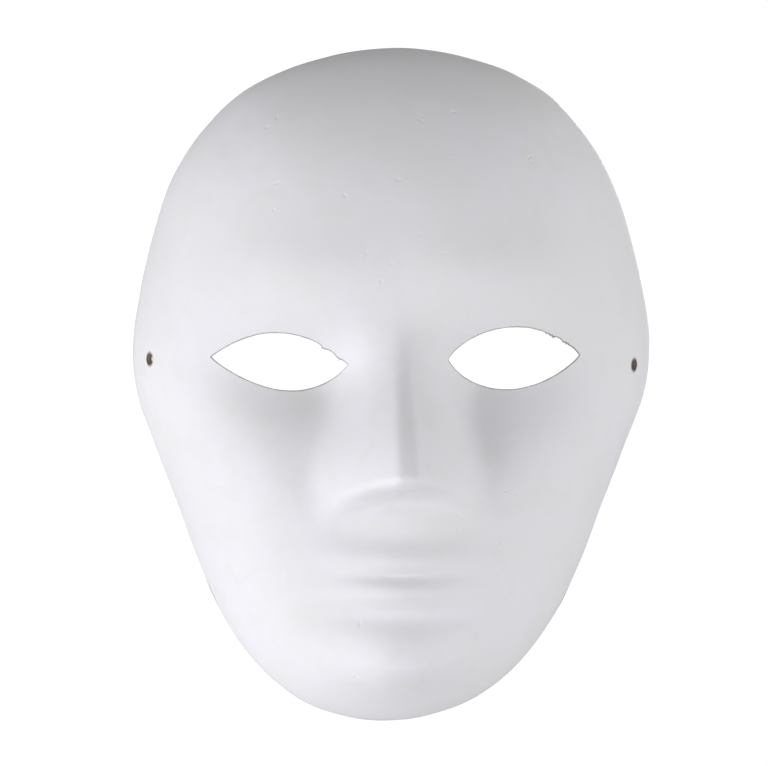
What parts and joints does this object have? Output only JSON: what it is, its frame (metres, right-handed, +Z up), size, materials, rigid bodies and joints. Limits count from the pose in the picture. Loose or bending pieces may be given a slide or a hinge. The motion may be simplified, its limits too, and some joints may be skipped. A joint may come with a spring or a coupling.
{
  "type": "full face mask",
  "caption": "blank full-face costume mask of moulded paper pulp with almond eye openings, closed lips and a strap hole at each temple",
  "frame": {"origin": "the middle of the rear opening that takes the wearer's face, on the plane of the temple rims and at the height of the strap holes", "axes": "the face looks along -Y, +Y points back to the wearer's head, +Z is up towards the crown and +X is to the right of someone who looks at the face"},
  "size_m": [0.1843, 0.0912, 0.2362],
  "materials": {
    "raw_pulp": "rough unbleached-white moulded pulp",
    "white_coat": "smooth matte white"
  },
  "bodies": {
    "root": {"pulp_shell": "raw_pulp", "face_coat": "white_coat"}
  },
  "joints": []
}
